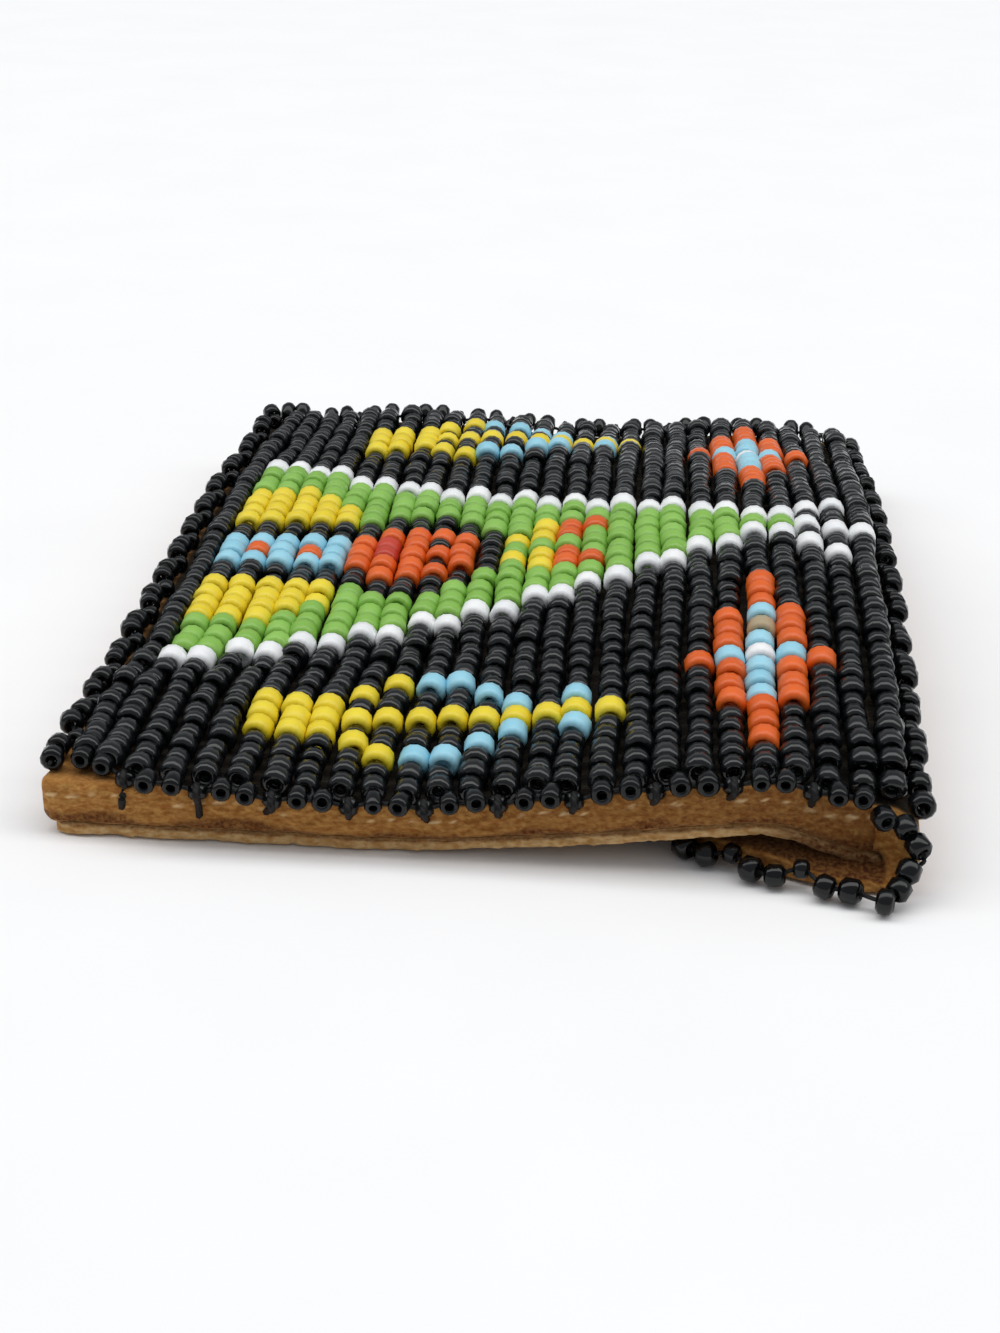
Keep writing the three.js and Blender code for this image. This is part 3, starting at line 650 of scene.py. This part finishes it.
def bead_faces(count):
    """Quads round every bead: each ring of its wall to the next, and the last to the first."""
    wall = len(BEAD_WALL)
    i, j = np.meshgrid(np.arange(wall), np.arange(BEAD_SIDES), indexing="ij")
    a, b = i * BEAD_SIDES, (i + 1) % wall * BEAD_SIDES
    k = (j + 1) % BEAD_SIDES
    one = np.stack([a + j, a + k, b + k, b + j], -1).reshape(-1, 4)
    return (np.arange(count)[:, None, None] * wall * BEAD_SIDES + one[None]).reshape(-1, 4)


def add_beads(name, centres, axes, radii, lengths, kinds):
    """One piece of many beads, each with its glass and a tone of its own."""
    points = beads(centres, axes, radii, lengths)
    faces = bead_faces(len(centres))
    tone = np.repeat(random.uniform(0.0, 0.7, len(centres)), points.shape[1])
    used = sorted(set(kinds.tolist()))
    slots = np.repeat(np.searchsorted(used, kinds), len(BEAD_WALL) * BEAD_SIDES)
    return add_piece(name, points, faces, [BEAD_GLASS[k] for k in used], {"tone": tone}, slots)


def pattern():
    """Glass of every bead by lane and row: figures tested in order, from the top one down."""
    rows = ROW_COUNT // 2 - np.arange(ROW_COUNT)
    lane, row = np.meshgrid(np.arange(LANE_COUNT), rows, indexing="ij")
    side = np.abs(row)
    narrowing = TENT_HALF_ROWS - (lane - TENT_FIRST) // 2
    tent = np.where((lane >= TENT_FIRST) & (lane <= TENT_LAST), narrowing, -1)
    inside = side <= tent
    floor = inside & (lane <= FLOOR_LAST)
    disc = ((lane - DISC_LANE) / DISC_RADIUS) ** 2 + (side / DISC_RADIUS) ** 2 <= 1
    ring = ((lane - RING_LANE) / RING_LANE_RADIUS) ** 2 + (side / RING_ROW_RADIUS) ** 2 <= 1
    star = np.abs(side - STAR_ROW) + 3 * np.abs(lane - STAR_LANE)
    off = np.abs(side - ARROW_ROW)
    from_tail = lane - ARROW_TAIL
    to_tip = ARROW_TIP - lane
    blade = np.minimum(np.minimum(3, from_tail - 1), np.abs(to_tip - 2))
    shaft = (from_tail >= 0) & ((off == 0) & (to_tip >= 0) | (off == 1) & (from_tail <= 2))
    edge = (from_tail >= 3) & (to_tip >= 1) & (off == blade)
    beyond = lane - TENT_LAST
    pole = (beyond >= 1) & ((side == 0) | (beyond < 3) & (side == beyond + 1))
    tests = [
        (inside & (side == tent), WHITE),
        (floor & (side == 0) & (lane % 2 == 0), ORANGE),
        (floor & (side <= 1), SKY_BLUE),
        (floor & (side <= 3), BLACK),
        (floor & (side <= np.minimum(7, 10 - lane)), YELLOW),
        (floor, GREEN),
        (inside & (lane == 9) & (side == 1), BLACK),
        (inside & (lane == 7) & ((row == 0) | (row == -1)), RED),
        (inside & disc, ORANGE),
        (inside & ring, BLACK),
        (inside & (side == 2) & (lane == 13), YELLOW),
        (inside & (side == 2) & ((lane == 14) | (lane == 15)), ORANGE),
        (inside & (side == 1) & ((lane == 12) | (lane == 13)), YELLOW),
        (inside & (side == 1) & (lane == 14), ORANGE),
        (inside, GREEN),
        ((lane == STAR_LANE) & (row == STAR_ROW - 2), SPECKLED),
        (star == 0, WHITE),
        (star <= 3, SKY_BLUE),
        (star <= 6, ORANGE),
        (shaft, YELLOW),
        (edge & (from_tail <= 4), YELLOW),
        (edge, SKY_BLUE),
        (pole, WHITE),
    ]
    return np.select([t for t, _ in tests], [k for _, k in tests], BLACK)


def lane_pull(x, y):
    """Sideways drift of the strings: the far bottom corner drawn in, the near lanes spread out."""
    spread = smooth_rise(*LANE_SPREAD_RISE, x) * (1 - smooth_rise(*LANE_SPREAD_FALL, x))
    spread = LANE_SPREAD * spread * smooth_rise(LANE_SPREAD_START, LANE_SPREAD_END, -y)
    return far_pull(x, y) - spread


def bead_lane(lane, kinds):
    """One string of beads over the front: bead lengths add up along Y, heights follow the hide."""
    black = kinds == BLACK
    share = np.where(black, 1.0, COLOUR_STRETCH)
    pitch = share / share.sum() * 2 * PANEL_HALF
    y = -PANEL_HALF + np.cumsum(pitch) - pitch / 2 + random.normal(0, ALONG_SCATTER, ROW_COUNT)
    reach = NEAR_STRETCH - BARE_CORNER * CORNER_REACH * max(0, 1 - lane / 2)
    y = y - reach * smooth_rise(NEAR_STRETCH_START, PANEL_HALF, -y)
    middle = FIRST_LANE + lane * LANE_PITCH
    apart = np.stack([np.full(ROW_COUNT, 31.0 * lane), y, 0 * y], -1)
    sway = LANE_SWAY * unevenness(apart, LANE_SWAY_LENGTH, 5)
    x = middle + sway + lane_pull(middle, y) + random.normal(0, ACROSS_SCATTER, ROW_COUNT)
    spread = np.clip(random.normal(1, SIZE_SCATTER, ROW_COUNT), SMALLEST, LARGEST)
    radii = np.where(black, BLACK_RADIUS * spread, COLOUR_RADIUS * (2 + spread) / 3)
    z = hide_top(np.minimum(x, MOUTH_X), y) + SEAT_GAP + radii
    z = z + random.normal(-BEAD_SINK, SINK_SCATTER, ROW_COUNT)
    slope = np.gradient(z, y)
    axes = np.stack([0 * slope, np.ones(ROW_COUNT), 0.6 * slope], -1)
    axes = axes + random.normal(0, LEAN_SCATTER, (ROW_COUNT, 3))
    lengths = pitch * np.where(black, BLACK_LENGTH, COLOUR_LENGTH)
    lengths = lengths * random.normal(1, SIZE_SCATTER, ROW_COUNT)
    centres = np.stack([x, y, z], -1)
    return add_beads(f"beads_{lane + 1:02d}", centres, axes, radii, lengths, kinds)


for lane, kinds in enumerate(pattern()):
    string = bead_lane(lane, kinds)
    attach(string, "pouch")
    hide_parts(f"bead_lane_{lane + 1:02d}")

# Side edging: along each side seam two glossy black beads stand out with their holes outwards,
# then one lies low, hole up, where the waxed thread goes down into the hide as a whip stitch.

EDGING_PITCH, EDGING_UNIT = 1.86, 3
SIDE_START, CORNER_GAP = 2.0, 1.1
OUTER_RADIUS, INNER_RADIUS = 0.86, 0.76
OUTER_STEP, INNER_STEP = 0.3, -0.05
SIDE_RISE, INNER_DROP = 0.78, 0.35
SIDE_OUTER_SHARE, SIDE_OUTER_LENGTH, SIDE_INNER_LENGTH = 0.92, 1.8, 1.2
SIDE_OFFSET = {-1: 0.45, 1: 0.05}
OUTER_LIFT = {-1: 0.25, 1: 0.1}
OUTER_TILT = {-1: 0.0, 1: 0.9}
PLACE_SCATTER, RISE_SCATTER, TILT_SCATTER = 0.08, 0.06, 0.12
RADIUS_SCATTER, LENGTH_SCATTER = 0.05, 0.06
THREAD_RADIUS, STITCH_RADIUS, THREAD_SIDES = 0.17, 0.3, 6
LONG_STITCHES_END, LONG_STITCH, SHORT_STITCH = 14.0, (1.5, 1.9), (0.35, 0.7)
STITCH_LEAN, STITCH_LEAN_SCATTER = -0.15, 0.12


def edging_run(start, end):
    """Places along a run at about the edging pitch, and which of them stand out."""
    count = round((end - start) / EDGING_PITCH) + 1
    return np.linspace(start, end, count), np.arange(count) % EDGING_UNIT != EDGING_UNIT - 1


def waxed_thread():
    """Black waxed sewing thread: a low sheen over twisted plies about 0.35 mm apart."""
    material, tree, shader, place = new_material("waxed_thread")
    twist = {"Vector": place, "Scale": 900, "Distortion": 1.5, "Detail": 1.0}
    wave = add_node(tree, "ShaderNodeTexWave", twist, bands_direction="DIAGONAL")
    plies = wave.outputs["Fac"]
    bump = add_node(
        tree, "ShaderNodeBump", {"Height": plies, "Strength": 0.5, "Distance": 0.0001}
    )
    look = {
        "Base Color": colour_between(tree, plies, paint("#050506"), paint("#101012")),
        "Normal": bump.outputs[0],
        "Roughness": 0.6,
        "Specular IOR Level": 0.3,
    }
    set_inputs(tree, shader, look)
    return material


WAXED_THREAD = waxed_thread()


def smooth_path(knots, steps):
    """Catmull-Rom curve through the knots, with steps points to a span."""
    knots = np.concatenate([2 * knots[:1] - knots[1:2], knots, 2 * knots[-1:] - knots[-2:-1]])
    t = np.linspace(0, 1, steps, endpoint=False)[None, :, None]
    a, b, c, d = (knots[i : len(knots) - 3 + i, None, :] for i in range(4))
    curve = b + 0.5 * t * (c - a + t * (2 * a - 5 * b + 4 * c - d + t * (3 * (b - c) + d - a)))
    return np.concatenate([curve.reshape(-1, 3), knots[-2:-1]])


def add_threads(name, paths, radii):
    """Round threads with a few sides along the paths, drawn in to a point at both ends."""
    points, faces, start = [], [], 0
    for path, radius in zip(paths, radii):
        path = np.concatenate([path[:1], path, path[-1:]])
        along = np.gradient(path, axis=0)
        along[[0, -1]] = along[[1, -2]]
        along /= np.linalg.norm(along, axis=1, keepdims=True)
        wide = np.full(len(path), radius)
        wide[[0, -1]] = 0
        ring = spokes(along, [0.21, 0.34, 0.92], THREAD_SIDES)
        points.append((path[:, None, :] + wide[:, None, None] * ring).reshape(-1, 3))
        faces.append(ring_faces(len(path), THREAD_SIDES) + start)
        start += THREAD_SIDES * len(path)
    return add_piece(name, np.concatenate(points), np.concatenate(faces), [WAXED_THREAD])


def side_edging(name, side):
    """Beads along y = side * half width, drawn in round the bare near corner of the hide.

    Outer beads point outwards, their holes showing; inner ones stand on end, and the thread
    comes up through each of these, turns over it and goes down the cut edge of the hide.
    """
    x, outer = edging_run(SIDE_START, MOUTH_X - CORNER_GAP)
    count = len(x)
    x = x + far_pull(x, side * HALF_WIDTH) + random.normal(0, PLACE_SCATTER, count)
    bare = BARE_CORNER * (1 - smooth_rise(BARE_CORNER_START, BARE_CORNER_END, x)) * (side < 0)
    y = side * (HALF_WIDTH + SIDE_OFFSET[side] + np.where(outer, OUTER_STEP, INNER_STEP) - bare)
    rise = SIDE_RISE + np.where(outer, OUTER_LIFT[side], -INNER_DROP)
    z = hide_top(x, np.full(count, side * HALF_WIDTH)) + rise
    z = z + random.normal(0, RISE_SCATTER, count)
    axes = np.where(outer[:, None], [0, side, OUTER_TILT[side]], [0, -0.5 * side, 1])
    axes = axes + random.normal(0, TILT_SCATTER, (count, 3))
    radii = np.where(outer, SIDE_OUTER_SHARE * OUTER_RADIUS, INNER_RADIUS)
    radii = radii * random.normal(1, RADIUS_SCATTER, count)
    lengths = np.where(outer, SIDE_OUTER_LENGTH, SIDE_INNER_LENGTH)
    lengths = lengths * random.normal(1, LENGTH_SCATTER, count)
    centres = np.stack([x, y, z], -1)
    string = add_beads(name, centres, axes, radii, lengths, np.full(count, GLOSSY_BLACK))
    run = smooth_path(centres - np.where(outer, 0.15, 0.0)[:, None] * [0, side, 1], 4)
    paths, widths = [run], [THREAD_RADIUS]
    for i in np.flatnonzero(~outer):
        depth = random.uniform(*(LONG_STITCH if x[i] < LONG_STITCHES_END else SHORT_STITCH))
        lean = random.normal(STITCH_LEAN, STITCH_LEAN_SCATTER)
        edge = hide_top(x[i], side * HALF_WIDTH)
        knots = [
            (x[i], y[i] - side * 0.2, z[i] - 0.4),
            (x[i], y[i] + side * 0.3, z[i] + 0.65),
            (x[i] + 0.1, y[i] + side * 1.0, z[i] + 0.1),
            (x[i], y[i] + side * 0.3, edge - 0.2),
            (x[i] + lean, side * (HALF_WIDTH + 0.1), edge - 0.3 - depth / 2),
            (x[i] + 1.6 * lean, side * (HALF_WIDTH - 0.15), edge - 0.3 - depth),
        ]
        paths.append(smooth_path(np.array(knots), 4))
        widths.append(STITCH_RADIUS)
    return string, add_threads(name + "_thread", paths, widths)


for name, side in (("right_side_edging", -1), ("left_side_edging", 1)):
    string, thread = side_edging("beads_" + name, side)
    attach(string, "pouch")
    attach(thread, "pouch")
    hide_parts(name)

# Bottom edging: the same string across the sewn bottom, standing on the front just inside its
# edge, with a little of the hide showing between it and the first lane.

BOTTOM_INSET, BOTTOM_SPREAD, BOTTOM_NEAR_GAP = 0.8, 0.6, 2.2
BOTTOM_INNER_STEP, BOTTOM_RAISE, BOTTOM_SCATTER = 0.3, 0.1, 0.1
STRUNG_OUTER_SHARE, STRUNG_OUTER_LENGTH, STRUNG_INNER_LENGTH = 1.07, 1.55, 1.3
STRUNG_TILT_SCATTER, STRUNG_RADIUS_SCATTER, STRUNG_LENGTH_SCATTER = 0.2, 0.04, 0.05


def strung_edging(name, centres, outer):
    """Beads threaded one after another along a run, and the thread through them."""
    count = len(outer)
    axes = np.gradient(centres, axis=0) + random.normal(0, STRUNG_TILT_SCATTER, (count, 3))
    radii = np.where(outer, STRUNG_OUTER_SHARE * OUTER_RADIUS, INNER_RADIUS)
    radii = radii * random.normal(1, STRUNG_RADIUS_SCATTER, count)
    lengths = np.where(outer, STRUNG_OUTER_LENGTH, STRUNG_INNER_LENGTH)
    lengths = lengths * random.normal(1, STRUNG_LENGTH_SCATTER, count)
    string = add_beads(name, centres, axes, radii, lengths, np.full(count, GLOSSY_BLACK))
    first = 1.5 * centres[0] - 0.5 * centres[1]
    last = 1.5 * centres[-1] - 0.5 * centres[-2]
    path = smooth_path(np.concatenate([[first], centres, [last]]), 4)
    return string, add_threads(name + "_thread", [path], [THREAD_RADIUS])


def bottom_edging():
    """Beads along x = inset, on top of the front, the low ones drawn in towards the lanes."""
    y, outer = edging_run(BOTTOM_NEAR_GAP - HALF_WIDTH, HALF_WIDTH - CORNER_GAP)
    count = len(y)
    y = y + random.normal(0, PLACE_SCATTER, count)
    x = BOTTOM_INSET + np.where(outer, -OUTER_STEP, BOTTOM_INNER_STEP)
    x = x + random.normal(0, BOTTOM_SCATTER, count)
    rise = np.where(outer, OUTER_RADIUS + BOTTOM_RAISE, INNER_RADIUS - BOTTOM_RAISE)
    z = hide_top(x, y) + SEAT_GAP + rise
    x = x + far_pull(x, y) - BOTTOM_SPREAD * smooth_rise(LANE_SPREAD_START, LANE_SPREAD_END, -y)
    return strung_edging("beads_bottom_edging", np.stack([x, y, z], -1), outer)


string, thread = bottom_edging()
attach(string, "pouch")
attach(thread, "pouch")
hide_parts("bottom_edging")

# Top edging: the string along the shoulder of the fold, sewn through the turn of the hide.

TOP_ANGLE, TOP_INNER_STEP = 47.0, -0.1


def top_edging():
    """Beads along the fold at one angle of its ellipse, strung along Y."""
    y, outer = edging_run(CORNER_GAP - HALF_WIDTH, HALF_WIDTH - CORNER_GAP)
    count = len(y)
    y = y + random.normal(0, PLACE_SCATTER, count)
    offset = np.where(outer, OUTER_STEP, TOP_INNER_STEP) + INNER_RADIUS + SEAT_GAP
    x, z = fold_point(TOP_ANGLE, y, offset + random.normal(0, PLACE_SCATTER, count))
    centres = np.stack([x, y + fold_skew(TOP_ANGLE), z], -1)
    return strung_edging("beads_top_edging", centres, outer)


string, thread = top_edging()
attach(string, "pouch")
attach(thread, "pouch")
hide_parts("top_edging")

# Fold-end edging: three beads round the upper half of each end of the fold, carrying the side
# edging over the corner. A run of bare thread goes on from them to the beads of the flap.

FOLD_END_ANGLES = np.array([88.0, 54.0, 22.0])
FOLD_END_OFFSET, FOLD_END_INSET, FOLD_END_LENGTH = 1.1, 0.2, 1.6
FOLD_END_LEAN, FOLD_END_LEAN_SCATTER = (0.4, 0.0, -0.3), 0.2
BARE_THREAD_ANGLE, BARE_THREAD_INSET = 2.0, -0.1
FOLD_END_SIZE_SCATTER = 0.03
TABLE_RISE = 1.0
LOWER_END_ANGLES = np.array([-18.0, -52.0, -82.0])
LOWER_END_INSET = 0.9
LOWER_END_SPREAD = np.array([0.0, 0.4, 1.2])


def fold_end(degrees, side, inset):
    """Places beside one end of the fold, at angles of its ellipse."""
    x, z = fold_point(degrees, np.full(len(degrees), side * HALF_WIDTH), -inset)
    y = side * (HALF_WIDTH + FOLD_END_OFFSET) + fold_skew(degrees)
    return np.stack([x, y, np.maximum(z, TABLE_RISE)], -1)


def lower_end(side):
    """Places of the three beads under each end of the fold, spreading out over the table."""
    places = fold_end(LOWER_END_ANGLES, side, LOWER_END_INSET)
    return places + LOWER_END_SPREAD[:, None] * [0, side, 0]


def fold_end_edging(name, side):
    """Beads at three angles, holes outwards, and the thread that leaves them for the flap."""
    centres = fold_end(FOLD_END_ANGLES, side, FOLD_END_INSET)
    count = len(centres)
    lean = random.normal(FOLD_END_LEAN, FOLD_END_LEAN_SCATTER, (count, 3))
    tilt = lean * [1, 0, 1] + [0, side, 0]
    radii = OUTER_RADIUS * random.normal(1, FOLD_END_SIZE_SCATTER, count)
    lengths = FOLD_END_LENGTH * random.normal(1, STRUNG_LENGTH_SCATTER, count)
    string = add_beads(name, centres, tilt, radii, lengths, np.full(count, GLOSSY_BLACK))
    bare = fold_end(np.array([BARE_THREAD_ANGLE]), side, BARE_THREAD_INSET)
    knots = np.concatenate([centres, bare, lower_end(side)[:1]])
    return string, add_threads(name + "_thread", [smooth_path(knots, 6)], [THREAD_RADIUS])


for name, side in (("right_fold_edging", -1), ("left_fold_edging", 1)):
    string, thread = fold_end_edging("beads_" + name, side)
    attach(string, "pouch")
    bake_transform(thread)
    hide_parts(name)

# Flap edging: three beads under each end of the fold, a bare run of thread, and then the string
# right round the free edge of the flap, its low beads drawn up against the hide.

FLAP_OUTER_OFFSET, FLAP_INNER_OFFSET = 1.5, 0.7
FLAP_INNER_RISE = 0.3
BARE_RUN = 1.7


def flap_edging():
    """Beads spaced along the flap's outline, grown by the offset of outer or of inner beads."""
    turn = np.linspace(0, np.pi, 400)[1:-1]

    def outline(offset):
        u = (FLAP_LENGTH + offset) * np.sin(turn) ** (2 / FLAP_SIDE_POWER)
        wide = (FLAP_HALF + offset) * np.abs(np.cos(turn)) ** (2 / FLAP_TIP_POWER)
        return MOUTH_X - u, FLAP_SKEW - np.sign(np.cos(turn)) * wide

    x, y = outline(FLAP_OUTER_OFFSET)
    run = np.concatenate([[0], np.cumsum(np.hypot(np.diff(x), np.diff(y)))])
    places, outer = edging_run(BARE_RUN, run[-1] - BARE_RUN)
    rows = [
        np.where(outer, np.interp(places, run, a), np.interp(places, run, b))
        for a, b in zip((x, y), outline(FLAP_INNER_OFFSET))
    ]
    raised = FLAP_INNER_RISE * (1 + (rows[1] < -HALF_WIDTH))
    rim = np.stack([*rows, TABLE_RISE + np.where(outer, 0, raised)], -1)
    ends = np.ones(len(LOWER_END_ANGLES), bool)
    centres = np.concatenate([lower_end(-1), rim, lower_end(1)[::-1]])
    return strung_edging("beads_flap_edging", centres, np.concatenate([ends, outer, ends]))


string, thread = flap_edging()
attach(string, "flap")
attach(thread, "flap")
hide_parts("flap_edging")

# Setting: a plain pale floor that keeps the purse's shadow, one long soft strip of light high
# overhead that draws a thin arc on every bead, and the camera where the photograph was taken.

FLOOR_HALF, FLOOR_DROP = 3.0, 0.0001
PHOTO_WIDE, PHOTO_HIGH = 1000, 1333
CAMERA_PLACE = (44.14, -176.41, 78.96)
CAMERA_YAW, CAMERA_PITCH, CAMERA_ROLL = -4.48, 24.96, 0.78
CAMERA_FOCAL_PIXELS = 2115.9


def floor_paper():
    """Matt white paper, faintly mottled at 20 mm."""
    material, tree, shader, place = new_material("floor_paper")
    mottle = noise(tree, place, 50, 2.0)
    colour = colour_between(tree, mottle, paint("#f5f5f5"), paint("#fafafa"))
    look = {"Base Color": colour, "Roughness": 0.95, "Specular IOR Level": 0.1}
    set_inputs(tree, shader, look)
    return material


corners = np.array([(-1, -1), (1, -1), (1, 1), (-1, 1)]) * FLOOR_HALF
floor_mesh = bpy.data.meshes.new("floor")
floor_mesh.from_pydata([(x, y, -FLOOR_DROP) for x, y in corners], [], [(0, 1, 2, 3)])
floor_mesh.materials.append(floor_paper())
floor = bpy.data.objects.new("floor", floor_mesh)
bpy.context.scene.collection.objects.link(floor)

world = bpy.data.worlds.new("studio")
bpy.context.scene.world = world
world.use_nodes = True
world.node_tree.nodes["Background"].inputs[0].default_value = paint("#f4f7fb")
world.node_tree.nodes["Background"].inputs[1].default_value = 0.38


def soft_light(name, place, aim, wide, deep, power):
    """Rectangular area lamp at place, turned to aim at a point, all in metres."""
    lamp = bpy.data.lights.new(name, "AREA")
    lamp.shape = "RECTANGLE"
    lamp.size, lamp.size_y = wide, deep
    lamp.energy = power
    made = bpy.data.objects.new(name, lamp)
    bpy.context.scene.collection.objects.link(made)
    back = np.subtract(place, aim) / np.linalg.norm(np.subtract(place, aim))
    right = np.cross([0, 1, 0.01], back)
    right /= np.linalg.norm(right)
    up = np.cross(back, right)
    turn = Matrix(np.column_stack([right, up, back]).tolist()).to_4x4()
    made.matrix_world = Matrix.Translation(place) @ turn
    return made


soft_light("overhead", (0, 0.1, 2.4), (0, 0.1, 0), 12.0, 1.4, 136.0)

yaw, pitch, roll = (math.radians(a) for a in (CAMERA_YAW, CAMERA_PITCH, CAMERA_ROLL))
ahead = np.array([
    math.sin(yaw) * math.cos(pitch),
    math.cos(yaw) * math.cos(pitch),
    -math.sin(pitch),
])
level = np.array([math.cos(yaw), -math.sin(yaw), 0])
upright = np.cross(level, ahead)
right = level * math.cos(roll) + upright * math.sin(roll)
up = upright * math.cos(roll) - level * math.sin(roll)
lens = bpy.data.cameras.new("camera")
lens.sensor_width = 36
lens.lens = CAMERA_FOCAL_PIXELS * lens.sensor_width / max(PHOTO_WIDE, PHOTO_HIGH)
lens.clip_start, lens.clip_end = 0.01, 10
camera = bpy.data.objects.new("camera", lens)
bpy.context.scene.collection.objects.link(camera)
aim = Matrix(np.column_stack([right, up, -ahead]).tolist()).to_4x4()
camera.matrix_world = Matrix.Translation(in_frame(CAMERA_PLACE)) @ aim
bpy.context.scene.camera = camera
bpy.context.scene.view_settings.view_transform = "Standard"
